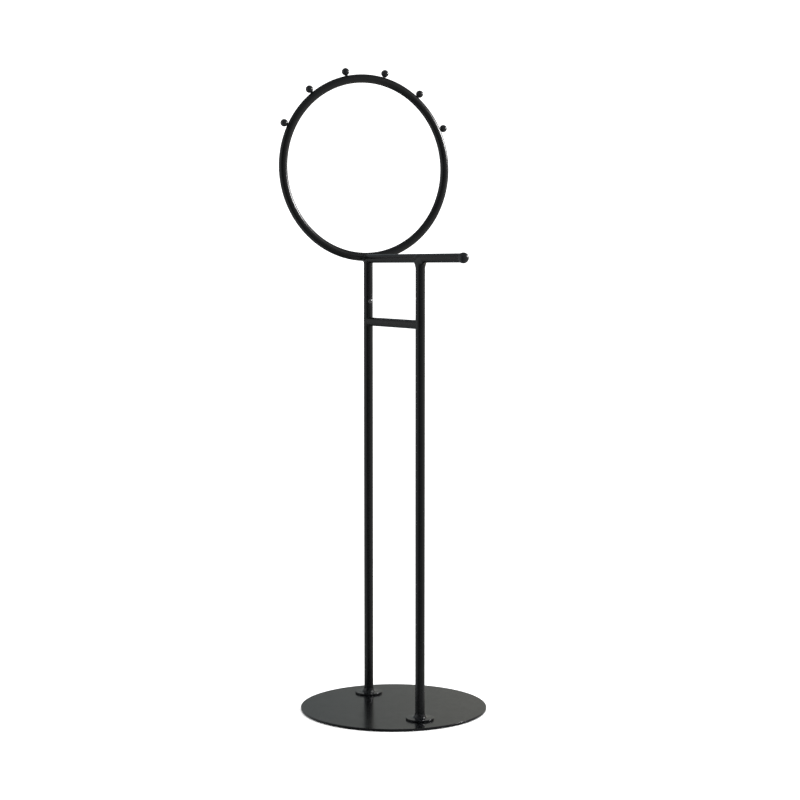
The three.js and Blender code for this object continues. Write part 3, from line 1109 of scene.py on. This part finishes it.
def build_floor():
    """White paper. In the finishes' reflections it shows the walls, as a glossy sweep would."""
    ways = ((-1, -1), (1, -1), (1, 1), (-1, 1))
    corners = [(x * FLOOR_REACH, y * FLOOR_REACH, FLOOR_Z) for x, y in ways]
    floor = make_object("floor", corners, [(0, 1, 2, 3)])
    material = bpy.data.materials.new("floor_paper")
    material.use_nodes = True
    nodes = Nodes(material.node_tree)
    path = nodes.add("ShaderNodeLightPath")
    bright = nodes.add("ShaderNodeBsdfDiffuse")
    bright.inputs["Color"].default_value = (*FLOOR_COLOUR, 1)
    outward = nodes.add("ShaderNodeVectorMath", operation="NORMALIZE")
    nodes.link(nodes.add("ShaderNodeNewGeometry").outputs["Position"], outward.inputs[0])
    mirrored = nodes.add("ShaderNodeEmission")
    nodes.link(surroundings(nodes, outward.outputs["Vector"]), mirrored.inputs["Color"])
    mirrored.inputs["Strength"].default_value = FLOOR_MIRROR
    mix = nodes.add("ShaderNodeMixShader")
    nodes.link(path.outputs["Is Glossy Ray"], mix.inputs["Fac"])
    nodes.link(bright.outputs["BSDF"], mix.inputs[1])
    nodes.link(mirrored.outputs["Emission"], mix.inputs[2])
    output = nodes.add("ShaderNodeOutputMaterial")
    nodes.link(mix.outputs["Shader"], output.inputs["Surface"])
    floor.data.materials.append(material)


def build_world():
    """A plain white background that lights the rack. The finishes mirror the walls in place of it."""
    world = bpy.data.worlds.new("studio")
    bpy.context.scene.world = world
    world.use_nodes = True
    world.cycles.sampling_method = "NONE"
    nodes = Nodes(world.node_tree)
    path = nodes.add("ShaderNodeLightPath")
    glossy = nodes.add("ShaderNodeBackground")
    direction = nodes.add("ShaderNodeTexCoord").outputs["Generated"]
    nodes.link(surroundings(nodes, direction), glossy.inputs["Color"])
    plain = nodes.add("ShaderNodeBackground")
    plain.inputs["Color"].default_value = (1, 1, 1, 1)
    plain.inputs["Strength"].default_value = WORLD_STRENGTH
    mix = nodes.add("ShaderNodeMixShader")
    nodes.link(path.outputs["Is Glossy Ray"], mix.inputs["Fac"])
    nodes.link(plain.outputs["Background"], mix.inputs[1])
    nodes.link(glossy.outputs["Background"], mix.inputs[2])
    output = nodes.add("ShaderNodeOutputWorld")
    nodes.link(mix.outputs["Shader"], output.inputs["Surface"])


SOFTBOX_DIRECTION = ACROSS * 0.86 + AWAY * 0.18 + Vector((0, 0, 0.31))
SOFTBOX_TARGET = Vector((0, 0, 1.1))
SOFTBOX_DISTANCE = 3.0
SOFTBOX_WIDTH = 0.8
SOFTBOX_HEIGHT = 0.6
SOFTBOX_POWER = 75


def build_softbox():
    """The light on the right, for the white spots on the balls and knobs."""
    data = bpy.data.lights.new("softbox_right", "AREA")
    data.shape = "RECTANGLE"
    data.size = SOFTBOX_WIDTH
    data.size_y = SOFTBOX_HEIGHT
    data.energy = SOFTBOX_POWER
    light = bpy.data.objects.new("softbox_right", data)
    bpy.context.scene.collection.objects.link(light)
    light.location = SOFTBOX_TARGET + SOFTBOX_DIRECTION.normalized() * SOFTBOX_DISTANCE
    light.rotation_euler = (SOFTBOX_TARGET - light.location).to_track_quat("-Z", "Y").to_euler()
    light.visible_camera = False


build_camera()
build_floor()
build_world()
build_softbox()
bpy.context.scene.view_settings.view_transform = "Standard"
